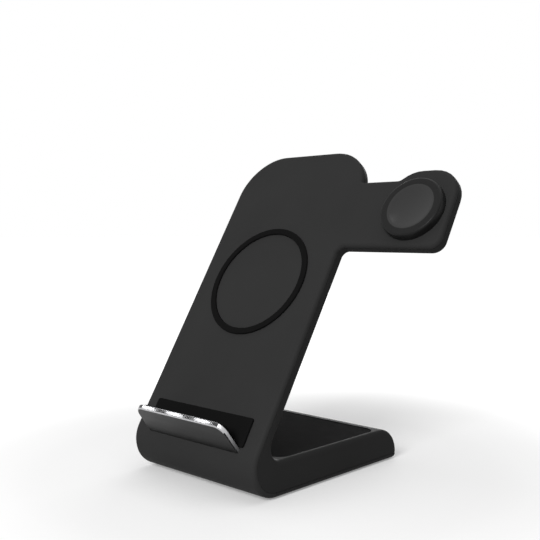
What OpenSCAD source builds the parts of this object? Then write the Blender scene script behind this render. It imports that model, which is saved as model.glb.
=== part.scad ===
// Charging station: a folded stand that holds a phone on a leaning plate,
// an earbud case on its base and a watch on an arm beside the plate.
// Millimetres. The origin is on the surface that it stands on, under the
// middle of the base. +X is towards the arm, +Y is towards the back.

/* [Stand] */
// Width of the stand, side to side
body_w = 78.4; // [72:0.2:84]
// Depth of the base, from nose to back end
base_d = 99.5; // [96:0.5:112]
// Height of the base above its own underside
base_h = 15.2; // [15:0.1:17]
// Radius of the rolled front edge
nose_r = 13.7; // [13.7:0.1:15]
// Radius of the rounded back end
end_r = 12.5; // [11:0.5:12.5]
// Radius of the fillet between base and plate
crook_r = 6; // [4:0.5:7]
// Rounding along every outer edge
edge_r = 1.8; // [1:0.1:2]

/* [Phone plate] */
// Lean of the plate, above level
lean = 58.5; // [56:0.5:64]
// Thickness of the plate and the arm
plate_t = 6.6; // [6.4:0.1:8]
// Length of the plate above the nose
plate_len = 150; // [146:1:156]
// Radius of the plate's two upper corners
plate_corner = 23; // [16:1:26]

/* [Watch arm] */
// Height of the arm's lower edge, along the plate
arm_low = 97.5; // [92:0.5:100]
// Height of the arm's upper edge, along the plate
arm_high = 131.7; // [128:0.1:134]
// Height of the watch pad's upper edge, along the plate
pad_high = 136.5; // [135:0.5:140]
// Distance of the watch pad's far edge from the middle of the stand
pad_reach = 90.2; // [86:0.1:100]
// Width of the watch pad
pad_w = 34; // [32:1:36]
// Radius of the watch pad's upper corners
pad_corner = 14; // [12:1:15]
// Radius of the charging puck
puck_r = 14.5; // [13.5:0.1:14.8]
// Height of the charging puck above the pad
puck_h = 4; // [3.4:0.1:5]

/* [Phone lip] */
// Distance that the lip reaches out from the plate
lip_reach = 14; // [12:0.1:16]
// Thickness of the lip's metal
lip_t = 2; // [1.8:0.1:2.6]
// Upward tilt of the lip, from square to the plate
lip_tilt = 21.6; // [10:0.1:24]
// Width of the lip where it leaves the plate
lip_root_w = 58.4; // [56:0.2:62]
// Width of the lip at its tip
lip_tip_w = 57.4; // [54:0.2:58]

/* [Hidden] */
$fn = 72;

// walls and clearances
wall = 2;
skin = 2.2;
foot_gap = 0.5;
top_z = foot_gap + base_h;
heel_r = 2.2;
pad_heel_r = 5.5;
arm_fillet_r = 3;
notch_fillet_r = 1;
far = 200;

// the nose's centre, and the line where the plate's front leaves the nose
nose = [-base_d / 2 + nose_r, foot_gap + nose_r];
plate_foot = nose + nose_r * [-sin(lean), cos(lean)];
lip_s = -1.9;

// points along an arc; an arc that goes on from another one starts at its second point
function arc(c, r, a0, a1, n = 12, first = 0) =
    [for (i = [first:n]) let (a = a0 + (a1 - a0) * i / n) c + r * [cos(a), sin(a)]];

// side view point at height s along the plate and depth w behind its front
function on_side(s, w) =
    plate_foot + s * [cos(lean), sin(lean)] + w * [sin(lean), -cos(lean)];

// the fillet in the crook: its place along the plate, and its centre
crook_w = plate_t + crook_r;
crook_s = (top_z + crook_r - plate_foot.y + crook_w * cos(lean)) / sin(lean);
crook = on_side(crook_s, crook_w);
stub = 24;
end_c = [base_d / 2 - end_r, top_z - end_r];
heel_c = [base_d / 2 - heel_r, foot_gap + heel_r];

// a closed outline from two chains that run side by side, with the same count
function belt(near, away) = concat(near, [for (i = [len(away) - 1:-1:0]) away[i]]);

// side view chains from the back end to the plate, drawn in by d
function under_chain(d) = concat(
    arc(heel_c, heel_r - d, 0, -90, 4), arc(nose, nose_r - d, 270, 90 + lean, 18)
);
function over_chain(d) = concat(
    arc(end_c, end_r - d, 0, 90, 12), arc(crook, crook_r + d, 270, 90 + lean, 10)
);

// side view of base, nose and the plate's first stretch, drawn in by d
function ribbon(d) = belt(
    concat(under_chain(d), [on_side(stub, d)]),
    concat(over_chain(d), [on_side(stub, plate_t - d)])
);

// centres of the outline's corners, seen square to the plate
half = body_w / 2;
plate_c = [half - plate_corner, plate_len - plate_corner];
pad_c = [pad_reach - pad_corner, pad_high - pad_corner];
pad_in_c = [pad_reach - pad_w + pad_corner, pad_high - pad_corner];
pad_heel_c = [pad_reach - pad_heel_r, arm_low + pad_heel_r];
// the fillets between plate and arm bite a little into the plate's side
bite = 0.06;
under_arm_c = [half + arm_fillet_r - bite, arm_low - arm_fillet_r];

// centre of a fillet that lies on the arm's upper edge and touches a corner
function over_arm(c, r, q, side) =
    let (rise = arm_high + q - c.y)
    [c.x + side * sqrt((r + q) * (r + q) - rise * rise), arm_high + q];
pad_notch = over_arm(pad_in_c, pad_corner, arm_fillet_r, -1);
plate_notch = over_arm(plate_c, plate_corner - bite, notch_fillet_r, 1);
pad_notch_a = atan2(pad_notch.y - pad_in_c.y, pad_notch.x - pad_in_c.x);
plate_notch_a = atan2(plate_notch.y - plate_c.y, plate_notch.x - plate_c.x);
plate_start = 10;

root = 6;

// outline of the plate, drawn in by d: right side against left side
function plate_outline(d) = belt(
    concat([[half - d, plate_start]], arc(plate_c, plate_corner - d, 0, 90, 16)),
    concat([[d - half, plate_start]], arc([-plate_c.x, plate_c.y], plate_corner - d, 180, 90, 16))
);

// outline of arm and watch pad, drawn in by d, from inside the plate outwards:
// lower edge against upper edge
function arm_outline(d) = belt(
    concat(
        [[half - root, under_arm_c.y]],
        arc(under_arm_c, arm_fillet_r + d, 180, 90, 9),
        arc(pad_heel_c, pad_heel_r - d, 270, 360, 10)
    ),
    concat(
        [plate_c + (plate_corner - root) * [cos(plate_notch_a), sin(plate_notch_a)]],
        arc(plate_notch, notch_fillet_r + d, plate_notch_a + 180, 270, 3),
        arc(pad_notch, arm_fillet_r + d, 270, pad_notch_a + 180, 3),
        arc(pad_in_c, pad_corner - d, pad_notch_a, 90, 4, 1),
        arc(pad_c, pad_corner - d, 90, 0, 8)
    )
);

// the puck's middle, in the plate's own frame
puck_x = pad_reach - pad_w / 2;
puck_s = (arm_low + pad_high) / 2 - 2;

// a solid through rings of points, each ring a belt of the same count, its two
// ends closed by strips between the belt's chains
module loft(rings) {
    n = len(rings[0]);
    m = len(rings);
    last = (m - 1) * n;
    polyhedron(
        points = [for (ring = rings) each ring],
        faces = concat(
            [for (j = [0:n / 2 - 2]) [n - 1 - j, n - 2 - j, j + 1, j]],
            [for (i = [0:m - 2], j = [0:n - 1]) let (k = (j + 1) % n)
                [i * n + j, i * n + k, (i + 1) * n + k, (i + 1) * n + j]],
            [for (j = [0:n / 2 - 2]) [last + j, last + j + 1, last + n - 2 - j, last + n - 1 - j]]
        ),
        convexity = 6
    );
}

// steps round an edge: how far each lies in from the side and from the face
edge_steps = 4;
function rounding(r) = [for (i = [0:edge_steps]) let (a = 90 * i / edge_steps)
    r * [1 - sin(a), 1 - cos(a)]];
rounds = rounding(edge_r);

// a line along the stand from its back end to the plate's top, near one side's
// edge: under and in front, or over and behind
function long_line(side, chain, depth, in) = concat(
    [for (p = chain) [side * (half - in), p.x, p.y]],
    [for (q = arc(plate_c, plate_corner - in, 0, 90, 16)) let (p = on_side(q.y, depth))
        [side * q.x, p.x, p.y]]
);
function side_lines(side) = concat(
    [for (r = rounds) long_line(side, under_chain(r.y), r.y, r.x)],
    [for (i = [edge_steps:-1:0]) let (r = rounds[i])
        long_line(side, over_chain(r.y), plate_t - r.y, r.x)]
);

// where two forms run on into each other, one lies a hair inside the other, so
// that no faces coincide
hair = 0.02;

// rows through a slab from one face to the other: how deep each lies, and how far
// its outline is drawn in
function rows(r, first, last) = concat(
    [for (q = r) [first + q.y, q.x]],
    [for (i = [edge_steps:-1:0]) [last - r[i].y, r[i].x]]
);
arm_rows = rows(rounds, hair, plate_t - hair);

// the plate's own frame: X across, Y up the plate, Z out towards the phone
module on_plate() {
    translate([0, plate_foot.x, plate_foot.y]) rotate([lean, 0, 0]) children();
}

// the lip's own frame: Y out along the lip, Z down through its metal
module on_lip() {
    on_plate() translate([0, lip_s, 0]) rotate([90 - lip_tilt, 0, 0]) children();
}

// a side view drawn in Y and Z, carried across the stand
module across(w) {
    rotate([90, 0, 90]) linear_extrude(w, center = true) children();
}

module round_box(size, r, h) {
    linear_extrude(h) for (a = [0, 1])
        union() {
            square([size.x - (a == 0 ? 0 : 2 * r), size.y - (a == 0 ? 2 * r : 0)], center = true);
            for (x = [-1, 1], y = [-1, 1])
                translate([x * (size.x / 2 - r), y * (size.y / 2 - r)]) circle(r);
        }
}

// the whole outer form of base, plate, arm and pad
module outer_form() {
    left = side_lines(-1);
    right = side_lines(1);
    loft([for (i = [0:len(left[0]) - 1])
        belt([for (line = left) line[i]], [for (line = right) line[i]])]);
    on_plate()
        loft([for (row = arm_rows) [for (p = arm_outline(row[1])) [p.x, p.y, -row[0]]]]);
}

// the space that the front shell fills: a skin along plate and nose
module front_zone() {
    across(2 * far) polygon(concat(
        [on_side(far, -far), on_side(far, skin)],
        arc(nose, nose_r - skin, 90 + lean, 270, 18),
        [[nose.x, -far], [-far, -far]]
    ));
}

// the space that the bottom cover fills
module bottom_zone() {
    translate([-far, nose.x, -far]) cube([2 * far, far, far + foot_gap + skin]);
}

// the hollow inside the walls
module hollow() {
    across(body_w - 2 * wall) polygon(ribbon(wall));
    on_plate() {
        translate([0, 0, wall - hair - plate_t])
            linear_extrude(plate_t - wall - skin + 1) polygon(plate_outline(wall - hair));
        translate([0, 0, wall - plate_t])
            linear_extrude(plate_t - wall - skin + 1.1) polygon(arm_outline(wall));
    }
}

// screw posts hang from the roof of the base, and every post is sunk a little
// into what carries it
sunk = 0.4;
post_r = 3.2;
post_x = 31;
post_y = [-24, 33];
pilot_r = 1.1;
module at_posts() {
    for (x = [-post_x, post_x], y = post_y) translate([x, y, 0]) children();
}

// the earbud mat's place on the roof of the base
mat_size = [body_w - 4.6, 68];
mat_corner = 6;
mat_y = (crook.x + end_c.x) / 2;
mat_recess = 0.8;

// the socket's place at the back
usb_size = [8.94, 7.4, 3.26];
board_top = 5.8;
usb_z = board_top + usb_size.z / 2;
usb_front = base_d / 2 - 1.4;

module usb_slot(grow, h) {
    w = usb_size.x + 2 * grow;
    t = usb_size.z + 2 * grow;
    linear_extrude(h) {
        square([w - t, t], center = true);
        for (x = [-1, 1]) translate([x * (w - t) / 2, 0]) circle(t / 2);
    }
}

module main_housing() color([0.17, 0.17, 0.18]) {
    difference() {
        outer_form();
        front_zone();
        bottom_zone();
        hollow();
        translate([0, mat_y, top_z - mat_recess]) round_box(mat_size, mat_corner, far / 10);
        translate([0, base_d / 2 - end_r, usb_z]) rotate([-90, 0, 0]) usb_slot(0.3, far / 10);
    }
    at_posts() translate([0, 0, foot_gap + skin]) difference() {
        cylinder(r = post_r, h = base_h - skin - wall + sunk);
        translate([0, 0, -1]) cylinder(r = pilot_r, h = 9);
    }
}

// recesses for the silicone on the front
strip_size = [62, 12.8];
strip_s = 0.8;
strip_corner = 1;
strip_seat = 0.4;
strip_t = 1.4;
ring_s = 78;
ring_r = 28;
ring_w = 3;
peg_r = 1.6;
peg_s = 2.2;
peg_x = 20;
flange_t = 1.8;
flange_gap = 0.3;
flange_back = skin + flange_gap + flange_t;
flange_s = -2.4;
flange_h = 8.6;
flange_w = 54;
tongue_w = 52;

module at_strip() {
    translate([0, strip_s + strip_size.y / 2, -strip_seat]) children();
}

module front_shell() color([0.19, 0.19, 0.2]) {
    difference() {
        intersection() {
            outer_form();
            front_zone();
        }
        on_plate() {
            translate([puck_x, puck_s, -skin - 1]) cylinder(r = puck_r - 1.5, h = skin + 2);
            at_strip() round_box(strip_size, strip_corner, 2);
            translate([0, ring_s, -strip_seat]) rotate_extrude()
                translate([ring_r - ring_w, 0]) square([ring_w, 2]);
        }
        lip_tongue();
    }
    on_plate() for (x = [-peg_x, peg_x])
        translate([x, peg_s, -flange_back]) difference() {
            cylinder(r = peg_r, h = flange_gap + flange_t + sunk);
            translate([0, 0, -1]) cylinder(r = 0.8, h = flange_t + 2);
        }
}

// the foot mat's place under the base
foot_size = [66, 74];
foot_y = 6;
foot_t = 1;

board_size = [52, 33, 1.2];
board_y = 28;
standoff_x = 22.5;
standoff_y = [15.5, 40.5];
module at_standoffs() {
    for (x = [-standoff_x, standoff_x], y = standoff_y) translate([x, y, 0]) children();
}

module bottom_cover() color([0.17, 0.17, 0.18]) {
    difference() {
        intersection() {
            outer_form();
            bottom_zone();
        }
        translate([0, foot_y, -1]) round_box(foot_size, 5, foot_t + 1);
        at_posts() {
            cylinder(r = 1.4, h = far / 10);
            translate([0, 0, foot_t]) cylinder(r1 = 2.5, r2 = 1.4, h = 1.1);
        }
    }
    at_standoffs() translate([0, 0, foot_gap + skin - sunk]) difference() {
        cylinder(r = 2.4, h = board_top - board_size.z - foot_gap - skin + sunk);
        translate([0, 0, sunk + 0.4]) cylinder(r = 0.8, h = 5);
    }
}

module foot_mat() color([0.1, 0.1, 0.1])
    translate([0, foot_y, 0]) round_box(foot_size, 5, foot_t);

// one side of the lip's outline in its own plane, drawn in by d: its tip leans, so
// that it stays level with the plate all the way through the metal
lip_corner = 5;
lip_edge = 0.5;
lip_flare = 2;
function lip_side(side, up, d) = let (y = lip_reach / cos(lip_tilt) + up * tan(lip_tilt) - lip_corner)
    concat(
        [[side * (lip_root_w / 2 - d), -2]],
        arc([side * (lip_tip_w / 2 - lip_corner), y], lip_corner - d, 90 - side * (90 - lip_flare), 90, 8)
    );
lip_rows = rows(rounding(lip_edge), 0, lip_t);

module lip_tongue() {
    on_lip() translate([-tongue_w / 2, -skin - 2, -lip_t]) cube([tongue_w, skin + 3, lip_t]);
}

module phone_lip() color([0.36, 0.36, 0.38]) {
    difference() {
        on_lip() loft([for (row = lip_rows)
            [for (p = belt(lip_side(1, row[0], row[1]), lip_side(-1, row[0], row[1])))
                [p.x, p.y, -row[0]]]]);
        on_plate() translate([-far / 2, -far / 4, -far / 2]) cube([far, far / 2, far / 2]);
    }
    difference() {
        lip_tongue();
        on_plate() translate([-far / 2, -far / 4, -flange_back - far / 2]) cube([far, far / 2, far / 2]);
        on_plate() translate([-far / 2, -far / 4, 0]) cube([far, far / 2, far / 2]);
    }
    on_plate() difference() {
        translate([-flange_w / 2, flange_s, -flange_back]) cube([flange_w, flange_h, flange_t]);
        for (x = [-peg_x, peg_x]) translate([x, peg_s, -far / 10]) cylinder(r = peg_r, h = far / 5);
    }
}

lip_pad_size = [53, 9.6];
lip_pad_y = 8.6;
lip_pad_t = 2;
module lip_pad() color([0.08, 0.08, 0.08])
    on_lip() translate([0, lip_pad_y, -lip_t - lip_pad_t])
        round_box(lip_pad_size, 1.5, lip_pad_t);

module back_strip() color([0.08, 0.08, 0.08])
    on_plate() at_strip() round_box(strip_size, strip_corner, strip_t);

module grip_ring() color([0.08, 0.08, 0.08])
    on_plate() translate([0, ring_s, -strip_seat]) rotate_extrude()
        translate([ring_r - ring_w, 0]) square([ring_w, strip_t]);

module earbud_mat() color([0.08, 0.08, 0.08])
    translate([0, mat_y, top_z - mat_recess]) round_box(mat_size, mat_corner, mat_recess - 0.2);

module at_puck() {
    on_plate() translate([puck_x, puck_s, 0]) children();
}

// the puck: a dished cap on a neck that passes through the pad
dish_r = 61;
dish_depth = 1;
neck_r = puck_r - 1.5;
cap_in_r = neck_r - 1;
module watch_puck() color([0.12, 0.12, 0.12])
    at_puck() difference() {
        rotate_extrude() {
            translate([0, -skin]) square([neck_r, skin]);
            square([puck_r, puck_h - 1]);
            square([puck_r - 1, puck_h]);
            translate([puck_r - 1, puck_h - 1]) circle(1);
        }
        translate([0, 0, puck_h - dish_depth + dish_r]) sphere(dish_r, $fn = 180);
        translate([0, 0, -skin - 1]) cylinder(r = cap_in_r, h = skin + puck_h - 0.8);
    }

module puck_retainer() color([0.5, 0.5, 0.5])
    at_puck() translate([0, 0, -skin - 1]) difference() {
        cylinder(r = puck_r, h = 1);
        translate([0, 0, -1]) cylinder(r = cap_in_r, h = 3);
    }

// a flat coil: wire of eight sides wound outwards, its turns just sunk in each other
module coil(r_in, turns, wire) color([0.72, 0.4, 0.2])
    rotate_extrude() for (i = [0:turns - 1])
        translate([r_in + wire * (0.5 + 0.96 * i), 0])
            polygon([for (a = [0:45:315]) wire / 2 * [cos(a), sin(a)]]);

module watch_coil() at_puck() translate([0, 0, 1.6]) coil(4.6, 6, 1.2);

module watch_ferrite() color([0.2, 0.2, 0.22])
    at_puck() translate([0, 0, 0.2]) cylinder(r = cap_in_r, h = 0.8);

module watch_magnet() color([0.75, 0.75, 0.78])
    at_puck() translate([0, 0, 1]) cylinder(r = 4, h = 1.2);

phone_coil_s = [56, 100];
phone_wire = 1;
module phone_coil(s) on_plate() translate([0, s, -skin - phone_wire / 2]) coil(8, 13, phone_wire);

module phone_coil_lower() phone_coil(phone_coil_s[0]);
module phone_coil_upper() phone_coil(phone_coil_s[1]);

ferrite_t = 0.8;
module phone_ferrite() color([0.2, 0.2, 0.22])
    on_plate() translate([0, ring_s, -skin - phone_wire - ferrite_t])
        round_box([46, 90], 3, ferrite_t);

bud_wire = 1.2;
bud_y = 2;
module earbud_coil()
    translate([0, bud_y, top_z - wall - bud_wire / 2]) coil(7, 10, bud_wire);

module earbud_ferrite() color([0.2, 0.2, 0.22])
    translate([0, bud_y, top_z - wall - bud_wire - ferrite_t]) cylinder(r = 20, h = ferrite_t);

module main_board() color([0.1, 0.3, 0.16])
    translate([0, board_y, board_top - board_size.z]) difference() {
        translate([-board_size.x / 2, -board_size.y / 2, 0]) cube(board_size);
        translate([0, -board_y, 0]) at_standoffs() translate([0, 0, -1]) cylinder(r = 1.1, h = 4);
    }

// what stands on the board: chips and the flat cables' sockets, chokes, capacitors
chips = [
    [-14, 24, 7, 7, 0.9], [12, 23, 5, 5, 0.9], [0, 26, 4, 4, 0.8],
    [-2, 14.3, 12, 2.4, 1.2], [14, 14.3, 6, 2.4, 1.2]
];
chokes = [[-15, 36, 6.2, 3], [14, 34, 6.2, 3]];
caps = [[5, 33], [-6, 33], [-6, 19], [6, 19]];
module board_parts() color([0.15, 0.15, 0.16]) translate([0, 0, board_top]) {
    for (c = chips) translate([c[0] - c[2] / 2, c[1] - c[3] / 2, 0]) cube([c[2], c[3], c[4]]);
    for (c = chokes) translate([c[0] - c[2] / 2, c[1] - c[2] / 2, 0]) cube([c[2], c[2], c[3]]);
    for (c = caps) translate([c[0], c[1], 0]) cylinder(r = 2, h = 4.2);
}

module usb_socket() color([0.75, 0.75, 0.77])
    translate([0, usb_front, usb_z]) rotate([90, 0, 0]) difference() {
        usb_slot(0, usb_size.y);
        translate([0, 0, -1]) usb_slot(-0.3, usb_size.y - 1);
    }

ballast_size = [52, 38, 5];
ballast_y = nose.x + 2;
ballast_top = foot_gap + skin + ballast_size.z;
module ballast() color([0.55, 0.56, 0.58])
    translate([-ballast_size.x / 2, ballast_y, foot_gap + skin]) cube(ballast_size);

// a flat cable of that thickness along side view points
flex_t = 0.3;
function unit(v) = v / norm(v);
function turn(v) = [-v.y, v.x];
function side_of(p, k) = turn(unit(p[min(k + 1, len(p) - 1)] - p[max(k - 1, 0)]));
function strip(p, t) = concat(
    [for (k = [0:len(p) - 1]) p[k] + side_of(p, k) * t / 2],
    [for (k = [len(p) - 1:-1:0]) p[k] - side_of(p, k) * t / 2]
);
flex_w = plate_t - wall - flex_t / 2 - 0.05;
board_front = board_y - board_size.y / 2;
flex_end = 37;
flex_route = [
    [board_front + 1.5, board_top + flex_t / 2],
    [board_front - 1, board_top + flex_t / 2],
    [ballast_y + ballast_size.y + 0.5, ballast_top + flex_t / 2 + 0.2],
    [ballast_y + 2, ballast_top + flex_t / 2 + 0.2],
    each arc(nose + [1, 0], 5.4, 280, 170, 8),
    on_side(2, flex_w + 0.5), on_side(6.4, flex_w + 0.15), on_side(9, flex_w),
    on_side(flex_end, flex_w)
];
module plate_flex() color([0.75, 0.5, 0.15])
    translate([-2, 0, 0]) across(10) polygon(strip(flex_route, flex_t));

watch_flex_x = 14;
module watch_flex() color([0.75, 0.5, 0.15]) {
    translate([watch_flex_x, 0, 0]) across(4) polygon(strip(flex_route, flex_t));
    side = 2 + hair;
    on_plate() translate([0, 0, -flex_w - flex_t / 2 - hair]) linear_extrude(flex_t + 2 * hair)
        polygon([
            [watch_flex_x - side, flex_end - 1], [watch_flex_x + side, flex_end - 1],
            [watch_flex_x + side, puck_s - side],
            [puck_x, puck_s - side], [puck_x, puck_s + side], [watch_flex_x - side, puck_s + side]
        ]);
}

module screw(head_r, head_h, r, l) color([0.7, 0.7, 0.72]) {
    cylinder(r1 = head_r, r2 = r, h = head_h);
    cylinder(r = r, h = l);
}

module base_screws() at_posts() translate([0, 0, foot_t]) screw(2.5, 1.1, pilot_r, 8);

module board_screws() color([0.7, 0.7, 0.72]) at_standoffs() {
    translate([0, 0, board_top]) cylinder(r = 1.7, h = 1.2);
    translate([0, 0, board_top - 2.6]) cylinder(r = 0.8, h = 2.61);
}

module lip_screws() color([0.7, 0.7, 0.72])
    on_plate() for (x = [-peg_x, peg_x]) translate([x, peg_s, -flange_back]) {
        translate([0, 0, -1]) cylinder(r = 2.2, h = 1);
        cylinder(r = 0.8, h = flange_t);
    }

main_housing();
front_shell();
bottom_cover();
foot_mat();
phone_lip();
lip_pad();
back_strip();
grip_ring();
earbud_mat();
watch_puck();
puck_retainer();
watch_coil();
watch_ferrite();
watch_magnet();
phone_coil_upper();
phone_coil_lower();
phone_ferrite();
earbud_coil();
earbud_ferrite();
main_board();
board_parts();
usb_socket();
ballast();
plate_flex();
watch_flex();
base_screws();
board_screws();
lip_screws();
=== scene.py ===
"""Looks of a folded charging stand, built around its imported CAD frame.

The script follows the stand as it is put together: the moulded housing, the front
shell and the cover under it, the metal lip, the silicone that things rest on, the
charging puck, the inlet, and what is sealed inside. The room comes last.
"""

import math

import bmesh
import bpy
from mathutils import Matrix, Vector


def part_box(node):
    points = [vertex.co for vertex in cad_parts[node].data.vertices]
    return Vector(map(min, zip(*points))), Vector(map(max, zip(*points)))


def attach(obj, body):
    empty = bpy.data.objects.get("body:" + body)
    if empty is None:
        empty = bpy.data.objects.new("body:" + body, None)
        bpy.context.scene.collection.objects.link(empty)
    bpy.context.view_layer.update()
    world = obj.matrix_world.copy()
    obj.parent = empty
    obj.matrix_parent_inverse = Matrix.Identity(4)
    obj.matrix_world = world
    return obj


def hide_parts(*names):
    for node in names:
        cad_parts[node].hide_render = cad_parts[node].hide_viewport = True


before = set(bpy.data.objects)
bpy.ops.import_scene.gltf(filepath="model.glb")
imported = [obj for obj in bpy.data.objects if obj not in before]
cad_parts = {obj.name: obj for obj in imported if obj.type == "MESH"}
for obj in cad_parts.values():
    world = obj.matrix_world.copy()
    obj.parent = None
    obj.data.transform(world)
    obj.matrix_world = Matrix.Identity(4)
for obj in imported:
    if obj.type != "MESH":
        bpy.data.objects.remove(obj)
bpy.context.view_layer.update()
MM = 0.001


# Housing. One moulding of black ABS: base, leaning back, arm and pad in one
# folded form, with a fine satin paint over it. It carries everything else.
def smooth_between_edges(form, sharp):
    """Smooth shading all over, apart from edges that turn by more than sharp degrees."""
    for face in form.faces:
        face.smooth = True
    for edge in form.edges:
        edge.smooth = edge.calc_face_angle(math.pi) < math.radians(sharp)


def skin_of(node, name, sharp=35.0, rounding=0.0, seam=None):
    """A welded copy of a CAD node that stands for it, smooth between its sharp edges.
    Its sharp edges are rounded, or with seam only those whose ends seam says yes to."""
    weld_reach, sliver, flat_turn = 0.002 * MM, 0.001 * MM, math.radians(0.5)
    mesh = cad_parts[node].data.copy()
    mesh.name = name
    mesh.materials.clear()
    if "custom_normal" in mesh.attributes:
        mesh.attributes.remove(mesh.attributes["custom_normal"])
    form = bmesh.new()
    form.from_mesh(mesh)
    bmesh.ops.remove_doubles(form, verts=form.verts, dist=weld_reach)
    bmesh.ops.dissolve_degenerate(form, edges=form.edges, dist=sliver)
    if rounding:
        bmesh.ops.dissolve_limit(form, angle_limit=flat_turn, verts=form.verts, edges=form.edges)
    smooth_between_edges(form, sharp)
    if seam:
        chosen = form.edges.layers.float.new("bevel_weight_edge")
        for edge in form.edges:
            if not edge.smooth and all(seam(vert.co) for vert in edge.verts):
                edge[chosen] = 1.0
    form.to_mesh(mesh)
    form.free()
    piece = bpy.data.objects.new(name, mesh)
    bpy.context.scene.collection.objects.link(piece)
    if rounding:
        soften = piece.modifiers.new("moulded_edge", "BEVEL")
        soften.width = rounding
        soften.segments = 3
        soften.limit_method = "WEIGHT" if seam else "ANGLE"
        soften.angle_limit = math.radians(sharp)
        soften.use_clamp_overlap = seam is None
        soften.harden_normals = True
    even = piece.modifiers.new("even_shading", "WEIGHTED_NORMAL")
    even.keep_sharp = True
    settle(piece)
    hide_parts(node)
    return piece


def settle(piece):
    """Turns what a piece's modifiers make into its own plain mesh."""
    seen = piece.evaluated_get(bpy.context.evaluated_depsgraph_get())
    made = bpy.data.meshes.new_from_object(seen)
    piece.modifiers.clear()
    piece.data = made
    made.name = piece.name


def grey(tone):
    """A colour without a hue."""
    return (tone, tone, tone)


def finish_named(name, colour, rough, metal=0.0, specular=0.5):
    """A material with its shader's own values set, and the place to add detail to it."""
    finish = bpy.data.materials.new(name)
    finish.use_nodes = True
    shader = finish.node_tree.nodes["Principled BSDF"]
    shader.inputs["Base Color"].default_value = (*colour, 1.0)
    shader.inputs["Roughness"].default_value = rough
    shader.inputs["Metallic"].default_value = metal
    shader.inputs["Specular IOR Level"].default_value = specular
    return finish


def speckle(finish, scale, detail=4.0, stretch=(1.0, 1.0, 1.0)):
    """Noise on the piece itself, drawn out along its axes by stretch."""
    nodes, links = finish.node_tree.nodes, finish.node_tree.links
    where = nodes.new("ShaderNodeTexCoord")
    drawn = nodes.new("ShaderNodeMapping")
    drawn.inputs["Scale"].default_value = stretch
    noise = nodes.new("ShaderNodeTexNoise")
    noise.inputs["Scale"].default_value = scale
    noise.inputs["Detail"].default_value = detail
    links.new(where.outputs["Object"], drawn.inputs["Vector"])
    links.new(drawn.outputs["Vector"], noise.inputs["Vector"])
    return noise.outputs["Fac"]


def remap(tree, amount, given, wanted, curve="LINEAR"):
    """An amount taken from the given span to the wanted one, and held at its ends."""
    spread = tree.nodes.new("ShaderNodeMapRange")
    spread.interpolation_type = curve
    spread.inputs["From Min"].default_value, spread.inputs["From Max"].default_value = given
    spread.inputs["To Min"].default_value, spread.inputs["To Max"].default_value = wanted
    tree.links.new(amount, spread.inputs["Value"])
    return spread.outputs["Result"]


def vary_colour(finish, amount, dark, light):
    """The finish's colour drifts between two tones with amount."""
    nodes, links = finish.node_tree.nodes, finish.node_tree.links
    ramp = nodes.new("ShaderNodeValToRGB")
    for element, position, colour in zip(ramp.color_ramp.elements, (0.3, 0.7), (dark, light)):
        element.position = position
        element.color = (*colour, 1.0)
    links.new(amount, ramp.inputs["Fac"])
    links.new(ramp.outputs["Color"], nodes["Principled BSDF"].inputs["Base Color"])


def vary_rough(finish, amount, low, high):
    """The finish's roughness drifts between low and high with amount."""
    tree = finish.node_tree
    drift = remap(tree, amount, given=(0.0, 1.0), wanted=(low, high))
    tree.links.new(drift, tree.nodes["Principled BSDF"].inputs["Roughness"])


def emboss(finish, amount, depth):
    """The surface rises and falls by depth with amount."""
    nodes, links = finish.node_tree.nodes, finish.node_tree.links
    bump = nodes.new("ShaderNodeBump")
    bump.inputs["Distance"].default_value = depth
    bump.inputs["Strength"].default_value = 1.0
    links.new(amount, bump.inputs["Height"])
    links.new(bump.outputs["Normal"], nodes["Principled BSDF"].inputs["Normal"])


def satin_paint(name, dark, light, rough):
    """Sprayed satin paint: faint clouds in its tone, and a grain of a fifth of a millimetre."""
    finish = finish_named(name, light, rough, specular=0.012)
    vary_colour(finish, speckle(finish, scale=26.0, detail=3.0), dark, light)
    vary_rough(finish, speckle(finish, scale=60.0, detail=5.0), rough - 0.05, rough + 0.05)
    emboss(finish, speckle(finish, scale=5200.0, detail=2.0), depth=0.012 * MM)
    return finish


housing_paint = satin_paint("housing_paint", dark=grey(0.025), light=grey(0.028), rough=0.5)

# The base's depth and the gap under it, the plate's directions, the rolled nose and the
# plate's lower end on it, the depths at which shell and cover end, and the groove there.
base_depth, foot_gap = 99.5 * MM, 0.5 * MM
lean = math.radians(58.5)
plate_up = Vector((0.0, math.cos(lean), math.sin(lean)))
plate_normal = Vector((0.0, -math.sin(lean), math.cos(lean)))
nose_radius = 13.7 * MM
nose_middle = Vector((0.0, nose_radius - base_depth / 2, foot_gap + nose_radius))
plate_foot = nose_middle + nose_radius * plate_normal
shell_depth = 2.2 * MM
cover_top = foot_gap + shell_depth
groove, seam_slack = 0.25 * MM, 0.06 * MM


def on_parting_line(point):
    """Whether a point is as deep behind the front, or above the underside, as the
    shell and the cover are thick."""
    off = point - plate_foot
    depth = -off.dot(plate_normal)
    if off.dot(plate_up) < 0:
        around = Vector((0.0, point.y - nose_middle.y, point.z - nose_middle.z))
        depth = nose_radius - around.length
    return min(abs(depth - shell_depth), abs(point.z - cover_top)) < seam_slack


housing = skin_of("main_housing", "folded_housing", rounding=groove, seam=on_parting_line)
housing.data.materials.append(housing_paint)
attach(housing, "root")


# Front shell. A second moulding that closes the plate and wraps the nose. It is
# welded to the housing along a fine parting line, and has its paint in a lighter tone: painted
# light.
# Painted light: the housing's satin paint made lighter, so that the front reads brighter than
# the sides.
shell_paint_painted_lighter = satin_paint("shell_paint_painted_lighter", dark=grey(0.031), light=grey(0.034), rough=0.48)

shell = skin_of("front_shell", "front_skin", rounding=groove, seam=on_parting_line)
shell.data.materials.append(shell_paint_painted_lighter)
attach(shell, "root")


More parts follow.
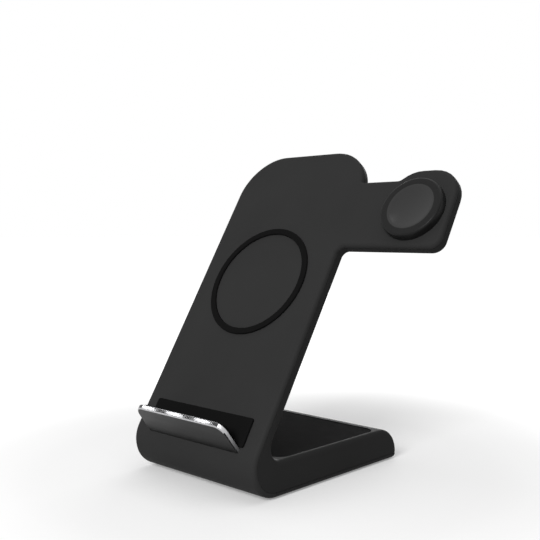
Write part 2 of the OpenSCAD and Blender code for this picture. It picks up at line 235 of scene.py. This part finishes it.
# Cover. The plate that closes the base from below, moulded in the housing's
# plastic but left unpainted, and held by four screws under the foot mat.
cover_plastic = finish_named("cover_plastic", grey(0.012), rough=0.55, specular=0.08)
vary_rough(cover_plastic, speckle(cover_plastic, scale=90.0), 0.5, 0.62)
emboss(cover_plastic, speckle(cover_plastic, scale=2600.0, detail=3.0), depth=0.03 * MM)

cover = skin_of("bottom_cover", "base_cover", rounding=groove, seam=on_parting_line)
cover.data.materials.append(cover_plastic)
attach(cover, "root")


# Lip. A pressed aluminium blade, anodised dark and blasted satin. Its rim is
# polished, with both edges cut bright; a tongue carries it through the shell.
lip_tilt = math.radians(21.6)
lip_drop, lip_reach, lip_metal = 1.9 * MM, 14.0 * MM, 2.0 * MM
lip_foot = plate_foot - lip_drop * plate_up
lip_out = math.cos(lip_tilt) * plate_normal + math.sin(lip_tilt) * plate_up
lip_up = math.cos(lip_tilt) * plate_up - math.sin(lip_tilt) * plate_normal
root_half, root_depth = 29.2 * MM, 2.0 * MM
tip_half, tip_corner = 28.7 * MM, 5.0 * MM
lower_cut, upper_cut = 0.4 * MM, 0.3 * MM

along_blade, along_grain = (0.06, 1.0, 1.0), (0.05, 1.0, 1.0)
lip_satin = finish_named("lip_satin", grey(0.021), rough=0.36, metal=1.0)
vary_rough(lip_satin, speckle(lip_satin, scale=500.0, stretch=along_blade), 0.32, 0.42)
emboss(lip_satin, speckle(lip_satin, scale=6000.0, detail=2.0, stretch=along_grain), 0.004 * MM)

rim_polish = finish_named("rim_polish", (0.08, 0.08, 0.082), rough=0.06, metal=1.0)
vary_rough(rim_polish, speckle(rim_polish, scale=300.0, detail=2.0), 0.05, 0.08)

edge_cut = finish_named("edge_cut", (0.46, 0.46, 0.47), rough=0.42, metal=1.0)
vary_rough(edge_cut, speckle(edge_cut, scale=300.0, detail=2.0), 0.38, 0.46)


def lip_front(rise):
    """How far out the blade's front lies at a height through its metal."""
    return lip_reach / math.cos(lip_tilt) + rise * math.tan(lip_tilt)


def lip_outline(rise, inset):
    """The blade's outline at a height through its metal, from root to tip and back. A
    point close to either end of its round corner keeps the long edges' shading flat."""
    level = lip_front(rise) - tip_corner
    middle, radius = tip_half - tip_corner, tip_corner - inset
    first, last, steps = 2.0, 90.0, 14
    just_before, just_after = 0.04, 0.5 * MM
    turns = [math.radians(first + (last - first) * step / steps) for step in range(steps + 1)]
    corner = [
        (middle + radius * math.cos(turn), level + radius * math.sin(turn)) for turn in turns
    ]
    root = (root_half - inset, -root_depth)
    before = tuple(Vector(corner[0]).lerp(Vector(root), just_before))
    after = (middle - just_after, level + radius)
    right = [root, before, *corner, after]
    left = [(-across, along) for across, along in reversed(right)]
    return [lip_foot + Vector((across, 0, 0)) + along * lip_out + rise * lip_up
            for across, along in right + left]


def cut_at_plate(form, keep_front):
    """Cuts a mesh close behind the plate's face, where the CAD lip has no corners, keeps
    one side of it and closes the cut."""
    just_behind = plate_foot - 0.01 * MM * plate_normal
    cut = bmesh.ops.bisect_plane(
        form, geom=form.verts[:] + form.edges[:] + form.faces[:], plane_co=just_behind,
        plane_no=plate_normal, clear_inner=keep_front, clear_outer=not keep_front
    )
    rim = [item for item in cut["geom_cut"] if isinstance(item, bmesh.types.BMEdge)]
    bmesh.ops.holes_fill(form, edges=rim, sides=0)


# The blade from its lower face to its upper one: three bands, each with the slot of
# its finish along the front and along the sides.
satin, polish, bright = 0, 1, 2
levels = ((0, lower_cut), (lower_cut, 0), (lip_metal - upper_cut, 0), (lip_metal, upper_cut))
finish_in_front, finish_beside = (bright, polish, bright), (satin, bright, bright)
side_facing = 0.6

blade = bmesh.new()
rings = [
    [blade.verts.new(point) for point in lip_outline(rise, inset)] for rise, inset in levels
]
for band, (below, above) in enumerate(zip(rings, rings[1:])):
    for step in range(len(below)):
        after = (step + 1) % len(below)
        face = blade.faces.new((below[step], below[after], above[after], above[step]))
        face.normal_update()
        beside = abs(face.normal.x) > side_facing
        face.material_index = (finish_beside if beside else finish_in_front)[band]
blade.faces.new(rings[0])
blade.faces.new(list(reversed(rings[-1])))
bmesh.ops.recalc_face_normals(blade, faces=blade.faces)
cut_at_plate(blade, keep_front=True)
smooth_between_edges(blade, sharp=20.0)
blade_mesh = bpy.data.meshes.new("blade")
blade.to_mesh(blade_mesh)
blade.free()

lip = skin_of("phone_lip", "phone_lip_blade")
for finish in (lip_satin, rim_polish, edge_cut):
    lip.data.materials.append(finish)
form = bmesh.new()
form.from_mesh(lip.data)
cut_at_plate(form, keep_front=False)
for face in form.faces:
    face.smooth = False
form.from_mesh(blade_mesh)
form.to_mesh(lip.data)
form.free()
bpy.data.meshes.remove(blade_mesh)
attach(lip, "root")


# Silicone rests. The pad on the lip, the strip and the ring on the plate, and
# the mat let into the base: moulded black silicone, matt, stuck in their seats.
silicone = finish_named("silicone", grey(0.0075), rough=0.82, specular=0.008)
vary_rough(silicone, speckle(silicone, scale=140.0), 0.76, 0.88)
emboss(silicone, speckle(silicone, scale=3200.0, detail=3.0), depth=0.02 * MM)

pad = skin_of("lip_pad", "lip_rest_pad", rounding=0.3 * MM)
strip = skin_of("back_strip", "plate_rest_strip", rounding=0.3 * MM)
mat = skin_of("earbud_mat", "base_top_mat", rounding=0.15 * MM)


def plan(name, sizes):
    """A new node tree with those named sizes, and the ways to add to it and to end it."""
    tree = bpy.data.node_groups.new(name, "GeometryNodeTree")
    tree.interface.new_socket("Geometry", in_out="OUTPUT", socket_type="NodeSocketGeometry")
    for size, kind in sizes.items():
        tree.interface.new_socket(size, in_out="INPUT", socket_type="NodeSocket" + kind)
    given = tree.nodes.new("NodeGroupInput").outputs

    def add(kind, mode=None, **inputs):
        node = tree.nodes.new("GeometryNode" + kind)
        if mode:
            node.mode = mode
        for label, value in inputs.items():
            socket = node.inputs[label.replace("_", " ")]
            if isinstance(value, bpy.types.NodeSocket):
                tree.links.new(value, socket)
            else:
                socket.default_value = value
        return node.outputs[0]

    def end(shape, finish):
        whole = add("RealizeInstances", Geometry=shape)
        dressed = add("SetMaterial", Geometry=whole, Material=finish)
        tree.links.new(dressed, tree.nodes.new("NodeGroupOutput").inputs[0])

    return tree, given, add, end


def make(name, tree, values, place, finish):
    """One plain mesh from a node tree and its sizes, smooth, and put in its place."""
    weld_reach, sharp = 0.001 * MM, 35.0
    piece = bpy.data.objects.new(name, bpy.data.meshes.new(name))
    bpy.context.scene.collection.objects.link(piece)
    grown = piece.modifiers.new(name, "NODES")
    grown.node_group = tree
    for item in tree.interface.items_tree:
        if item.item_type == "SOCKET" and item.in_out == "INPUT":
            grown[item.identifier] = values[item.name]
    settle(piece)
    form = bmesh.new()
    form.from_mesh(piece.data)
    bmesh.ops.remove_doubles(form, verts=form.verts, dist=weld_reach)
    bmesh.ops.recalc_face_normals(form, faces=form.faces)
    smooth_between_edges(form, sharp)
    form.to_mesh(piece.data)
    form.free()
    piece.data.transform(place)
    piece.data.materials.clear()
    piece.data.materials.append(finish)
    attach(piece, "root")
    return piece


def middle_of(node):
    """The middle of a CAD node's box."""
    low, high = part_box(node)
    return (low + high) / 2


def on_plate(place):
    """A turn onto the leaning plate, and a shift to place."""
    turn = Matrix((Vector((1, 0, 0)), plate_up, plate_normal)).transposed().to_4x4()
    return Matrix.Translation(place) @ turn


ring_tree, given, add, end = plan(
    "moulded_ring", {"Middle": "Float", "Width": "Float", "Height": "Float", "Rounding": "Float"}
)
path = add("CurvePrimitiveCircle", Resolution=144, Radius=given["Middle"])
section = add("CurvePrimitiveQuadrilateral", Width=given["Width"], Height=given["Height"])
soft = add("FilletCurve", "POLY", Curve=section, Radius=given["Rounding"], Count=4)
end(add("CurveToMesh", Curve=path, Profile_Curve=soft), silicone)
ring = make(
    "plate_grip_ring", ring_tree,
    {"Middle": 26.5 * MM, "Width": 3 * MM, "Height": 1.4 * MM, "Rounding": 0.45 * MM},
    on_plate(middle_of("grip_ring")), silicone
)
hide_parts("grip_ring")
for rest in (pad, strip, mat):
    rest.data.materials.append(silicone)
    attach(rest, "root")


# Foot mat. A millimetre of black silicone foam under the base, which keeps the
# stand from sliding and hides the screws.
foot_foam = finish_named("foot_foam", grey(0.01), rough=0.85, specular=0.05)
vary_rough(foot_foam, speckle(foot_foam, scale=300.0), 0.78, 0.92)
emboss(foot_foam, speckle(foot_foam, scale=1500.0), depth=0.05 * MM)

foot = skin_of("foot_mat", "foot_mat_foam", rounding=0.2 * MM)
foot.data.materials.append(foot_foam)
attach(foot, "root")


# Charging puck. A dished cap of hard black plastic with a charging coil in it, on
# a neck through the pad, locked from behind by a steel ring.
puck_satin = finish_named("puck_satin", grey(0.012), rough=0.38, specular=0.09)
vary_rough(puck_satin, speckle(puck_satin, scale=200.0), 0.34, 0.42)
emboss(puck_satin, speckle(puck_satin, scale=4000.0, detail=2.0), depth=0.008 * MM)

puck_dish = finish_named("puck_dish", grey(0.009), rough=0.16, specular=0.4)
vary_rough(puck_dish, speckle(puck_dish, scale=160.0, detail=5.0), 0.12, 0.22)

puck = skin_of("watch_puck", "charging_puck", sharp=28.0)
puck.data.materials.append(puck_satin)
puck.data.materials.append(puck_dish)
puck_middle = middle_of("watch_puck")
dish_reach, dish_facing = 11.5 * MM, 0.5
for face in puck.data.polygons:
    off = face.center - puck_middle
    out = off.dot(plate_normal)
    aside = (off - out * plate_normal).length
    dished = aside < dish_reach and out > 0 and face.normal.dot(plate_normal) > dish_facing
    face.material_index = 1 if dished else 0
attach(puck, "root")


# Inlet. An oval receptacle, soldered to the board and flush in the back of the
# base: a rolled steel shell round a plastic tongue with gilt contacts.
rolled_steel = finish_named("rolled_steel", (0.5, 0.5, 0.51), rough=0.3, metal=1.0)
vary_rough(rolled_steel, speckle(rolled_steel, scale=700.0), 0.24, 0.38)
emboss(rolled_steel, speckle(rolled_steel, scale=3000.0, detail=2.0), depth=0.004 * MM)

socket = skin_of("usb_socket", "inlet_shell")
socket.data.materials.append(rolled_steel)
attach(socket, "root")

tongue_plastic = finish_named("tongue_plastic", (0.02, 0.02, 0.021), rough=0.5, specular=0.3)
vary_rough(tongue_plastic, speckle(tongue_plastic, scale=2500.0), 0.42, 0.58)

inlet_middle = middle_of("usb_socket")
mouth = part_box("usb_socket")[1].y
# The tongue and the block behind it: size across, inwards and upwards, and start from the mouth.
tongue_edge, tongue_blocks = 0.12 * MM, (((6.7, 4.9, 0.7), 1.0), ((7.6, 1.2, 1.9), 5.4))
form = bmesh.new()
for size, from_mouth in tongue_blocks:
    block = bmesh.ops.create_cube(form, size=1.0)["verts"]
    bmesh.ops.scale(form, vec=Vector(size) * MM, verts=block)
    inwards = (from_mouth + size[1] / 2) * MM
    bmesh.ops.translate(form, vec=(inlet_middle.x, mouth - inwards, inlet_middle.z), verts=block)
bmesh.ops.bevel(
    form, geom=form.edges[:], offset=tongue_edge, segments=2, affect="EDGES", profile=0.5
)
smooth_between_edges(form, sharp=35.0)
mesh = bpy.data.meshes.new("inlet_tongue")
form.to_mesh(mesh)
form.free()
tongue = bpy.data.objects.new("inlet_tongue", mesh)
bpy.context.scene.collection.objects.link(tongue)
mesh.materials.append(tongue_plastic)
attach(tongue, "root")

gilt = finish_named("contact_gilt", (0.85, 0.6, 0.25), rough=0.22, metal=1.0)
vary_rough(gilt, speckle(gilt, scale=3000.0), 0.16, 0.3)

contact_tree, given, add, end = plan(
    "contact_rows", {"Contacts": "Int", "Pitch": "Vector", "Apart": "Vector", "Size": "Vector"}
)
row = add(
    "InstanceOnPoints", Instance=add("MeshCube", Size=given["Size"]),
    Points=add("MeshLine", Count=given["Contacts"], Offset=given["Pitch"])
)
two = add("MeshLine", Count=2, Offset=given["Apart"])
both = add("InstanceOnPoints", Instance=row, Points=two)
end(both, gilt)
count, pitch, rows_apart, from_mouth = 12, 0.5 * MM, 0.72 * MM, 1.4 * MM
contact_wide, contact_long, contact_thick = 0.26 * MM, 3.4 * MM, 0.08 * MM
first_contact = Matrix.Translation((
    inlet_middle.x - (count - 1) * pitch / 2,
    mouth - from_mouth - contact_long / 2,
    inlet_middle.z - rows_apart / 2
))
contacts = make(
    "inlet_contacts", contact_tree,
    {"Contacts": count, "Pitch": (pitch, 0.0, 0.0), "Apart": (0.0, 0.0, rows_apart),
     "Size": (contact_wide, contact_long, contact_thick)},
    first_contact, gilt
)


# Inside. Coils of enamelled copper on ferrite sheets, a green board with its
# parts, flat cables, a magnet, screws and a steel weight, all sealed in.
zinc = finish_named("zinc_plate", (0.45, 0.46, 0.48), rough=0.4, metal=1.0)
vary_rough(zinc, speckle(zinc, scale=400.0), 0.3, 0.5)
enamel = finish_named("copper_enamel", (0.55, 0.2, 0.08), rough=0.3, metal=1.0)
clouds = speckle(enamel, scale=400.0)
vary_colour(enamel, clouds, dark=(0.5, 0.17, 0.06), light=(0.62, 0.25, 0.1))
ferrite = finish_named("ferrite_sheet", (0.03, 0.03, 0.033), rough=0.6)
clouds = speckle(ferrite, scale=300.0)
vary_colour(ferrite, clouds, dark=(0.024, 0.024, 0.027), light=(0.04, 0.04, 0.043))
solder_mask = finish_named("solder_mask", (0.01, 0.1, 0.04), rough=0.35)
tracks = speckle(solder_mask, scale=900.0, detail=1.0, stretch=(1.0, 0.1, 1.0))
vary_colour(solder_mask, tracks, dark=(0.008, 0.08, 0.03), light=(0.02, 0.14, 0.06))
epoxy = finish_named("chip_epoxy", (0.012, 0.012, 0.013), rough=0.5)
vary_rough(epoxy, speckle(epoxy, scale=2500.0), 0.42, 0.6)
polyimide = finish_named("polyimide", (0.5, 0.22, 0.04), rough=0.35)
wires = speckle(polyimide, scale=1500.0, detail=1.0, stretch=(1.0, 0.02, 0.02))
vary_colour(polyimide, wires, dark=(0.42, 0.17, 0.03), light=(0.58, 0.28, 0.06))

coil_tree, given, add, end = plan(
    "wound_coil", {"Inner": "Float", "Outer": "Float", "Turns": "Float", "Wire": "Float"}
)
winding = add(
    "CurveSpiral", Resolution=48, Rotations=given["Turns"], Start_Radius=given["Inner"],
    End_Radius=given["Outer"], Height=0.0
)
wire = add("CurvePrimitiveCircle", Resolution=8, Radius=given["Wire"])
end(add("CurveToMesh", Curve=winding, Profile_Curve=wire, Fill_Caps=True), enamel)

# Each coil's inner radius in millimetres, its turns, its wire's width with the enamel
# in millimetres, and the way it lies.
coils = {
    "watch_coil": (4.6, 6, 1.2, on_plate),
    "phone_coil_upper": (8, 13, 1.0, on_plate),
    "phone_coil_lower": (8, 13, 1.0, on_plate),
    "earbud_coil": (7, 10, 1.2, Matrix.Translation),
}
lay, half_thickness = 0.96, 0.47
for node, (hollow, turns, wire_size, lying) in coils.items():
    first = hollow + wire_size / 2
    coil = make(
        node + "_winding", coil_tree,
        {"Inner": first * MM, "Outer": (first + lay * wire_size * (turns - 1)) * MM,
         "Turns": float(turns - 1), "Wire": half_thickness * wire_size * MM},
        lying(middle_of(node)), enamel
    )
    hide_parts(node)

sealed = {
    zinc: (
        "puck_retainer", "watch_magnet", "ballast", "base_screws", "board_screws", "lip_screws"
    ),
    ferrite: ("watch_ferrite", "phone_ferrite", "earbud_ferrite"),
    solder_mask: ("main_board",),
    epoxy: ("board_parts",),
    polyimide: ("plate_flex", "watch_flex"),
}
for finish, nodes in sealed.items():
    for node in nodes:
        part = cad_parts[node]
        part.data.materials.clear()
        part.data.materials.append(finish)


# Room. A plain pale floor that runs on into a white background. Soft lamps stand in
# front, low behind and above, and three slim ones are mirrored in the lip's rim.
floor_reach = 15.0
floor_mesh = bpy.data.meshes.new("floor")
floor_mesh.from_pydata(
    [(-floor_reach, -floor_reach, 0), (floor_reach, -floor_reach, 0),
     (floor_reach, floor_reach, 0), (-floor_reach, floor_reach, 0)], [], [(0, 1, 2, 3)]
)
floor = bpy.data.objects.new("floor", floor_mesh)
bpy.context.scene.collection.objects.link(floor)


def seen_directly(tree):
    """1 for camera, glossy and transmission rays, and 0 for the light that bounces."""
    path = tree.nodes.new("ShaderNodeLightPath")
    seen = path.outputs["Is Camera Ray"]
    for ray in ("Is Glossy Ray", "Is Transmission Ray"):
        either = tree.nodes.new("ShaderNodeMath")
        either.operation = "MAXIMUM"
        tree.links.new(seen, either.inputs[0])
        tree.links.new(path.outputs[ray], either.inputs[1])
        seen = either.outputs[0]
    return seen


# The floor is lit around the stand. Further out its own glow, seen directly, takes over from its
# colour, so that it meets the background without an edge. Its colour also darkens further out,
# which is painted shade: it deepens the floor's shadow near the stand and dims the light the
# floor throws back up onto the stand.
floor_white = finish_named("floor_white", grey(0.8), rough=0.9, specular=0.0)
tree = floor_white.node_tree
shader = tree.nodes["Principled BSDF"]
where = tree.nodes.new("ShaderNodeTexCoord")
away = tree.nodes.new("ShaderNodeVectorMath")
away.operation = "LENGTH"
tree.links.new(where.outputs["Object"], away.inputs[0])
distance = away.outputs["Value"]
glow = remap(tree, distance, given=(0.1, 0.27), wanted=(0.23, 1.0), curve="SMOOTHSTEP")
# Painted shade: the floor's colour falls from 0.8 to 0.2 further out.
tone = remap(tree, distance, given=(0.12, 0.36), wanted=(0.8, 0.2))
lift = tree.nodes.new("ShaderNodeMath")
lift.operation = "MULTIPLY"
tree.links.new(seen_directly(tree), lift.inputs[0])
tree.links.new(glow, lift.inputs[1])
tree.links.new(tone, shader.inputs["Base Color"])
tree.links.new(lift.outputs[0], shader.inputs["Emission Strength"])
shader.inputs["Emission Color"].default_value = (1.0, 1.0, 1.0, 1.0)
floor_mesh.materials.append(floor_white)

world = bpy.data.worlds.new("studio")
bpy.context.scene.world = world
world.use_nodes = True
tree = world.node_tree
sky = tree.nodes["Background"]
sky.inputs["Color"].default_value = (1.0, 1.0, 1.0, 1.0)
level = remap(tree, seen_directly(tree), given=(0.0, 1.0), wanted=(0.3, 1.0))
tree.links.new(level, sky.inputs["Strength"])


def softbox(name, place, aim, size, power):
    """A square area lamp at place that looks at aim."""
    lamp = bpy.data.lights.new(name, "AREA")
    lamp.shape = "SQUARE"
    lamp.size = size
    lamp.energy = power
    holder = bpy.data.objects.new(name, lamp)
    holder.location = place
    holder.rotation_euler = (Vector(aim) - Vector(place)).to_track_quat("-Z", "Y").to_euler()
    bpy.context.scene.collection.objects.link(holder)


stand_middle = (0.0, 0.0, 0.06)
softbox("key_front", place=(0.28, -0.95, 0.62), aim=stand_middle, size=0.4, power=8.5)
softbox("low_back", place=(-0.5, 1.0, 0.17), aim=stand_middle, size=0.7, power=6.0)
softbox("top", place=(0.0, 0.1, 1.4), aim=(0.0, 0.0, 0.0), size=1.2, power=4.0)

# Slim lamps that face the middle of the lip's rim, each lying along it in the mirror.
rim_middle = lip_foot + lip_front(lip_metal / 2) * lip_out + lip_metal / 2 * lip_up
rim_mirrored = Vector((-0.661, 0.544, -0.517))
window_middle, window_step = Vector((-188.3, -176.4, 146.0)) * MM, 20.7 * MM
window_long, window_high, window_drop, window_power = 10.8 * MM, 1.1 * MM, 0.2 * MM, 0.0018
for step in (1, 0, -1):
    place = window_middle + step * window_step * rim_mirrored
    window = bpy.data.lights.new("window_in_the_rim", "AREA")
    window.shape = "RECTANGLE"
    window.size, window.size_y = window_long, window_high
    window.energy = window_power
    holder = bpy.data.objects.new("window_in_the_rim", window)
    away = (place - rim_middle).normalized()
    along = (rim_mirrored - rim_mirrored.dot(away) * away).normalized()
    upright = away.cross(along)
    holder.location = place - window_drop * upright
    holder.rotation_euler = Matrix((along, upright, away)).transposed().to_euler()
    holder.visible_camera = False
    bpy.context.scene.collection.objects.link(holder)

camera = bpy.data.cameras.new("photo_camera")
camera.sensor_width = 36.0
camera.lens = 53.86
viewpoint = bpy.data.objects.new("photo_camera", camera)
viewpoint.location = (264.31 * MM, -276.80 * MM, 110.21 * MM)
viewpoint.rotation_euler = (math.radians(87.362), 0.0, math.radians(43.574))
bpy.context.scene.collection.objects.link(viewpoint)
bpy.context.scene.camera = viewpoint
bpy.context.scene.view_settings.view_transform = "Standard"
